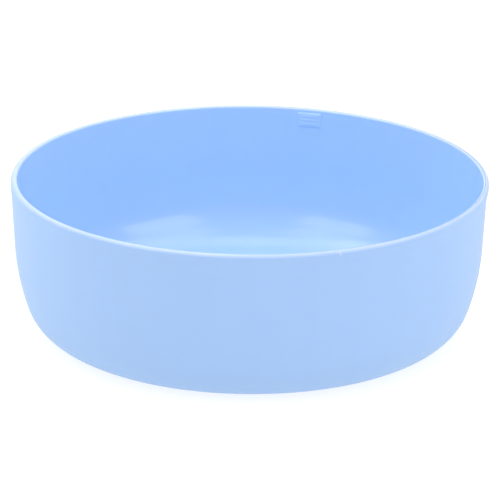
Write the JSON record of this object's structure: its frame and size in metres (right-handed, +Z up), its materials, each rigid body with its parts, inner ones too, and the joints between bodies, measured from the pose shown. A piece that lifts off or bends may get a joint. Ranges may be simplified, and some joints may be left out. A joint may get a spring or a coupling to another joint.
{
  "type": "lotion bowl",
  "caption": "Round, deep plastic ward bowl with a rounded base corner, a narrow flat rim and a foot ring, for holding lotions, swabs or small items.",
  "frame": {"origin": "centre of the foot, on the surface the bowl stands on", "axes": "+Z up along the bowl's axis; +Y towards the side of the wall that carries the raised pad, which is 15.5 degrees round from +Y towards +X"},
  "size_m": [0.15, 0.15, 0.05],
  "materials": {
    "moulded_polypropylene": "pale blue, polished inside and satin outside, slightly translucent"
  },
  "bodies": {
    "root": {"bowl": "moulded_polypropylene"}
  },
  "joints": []
}
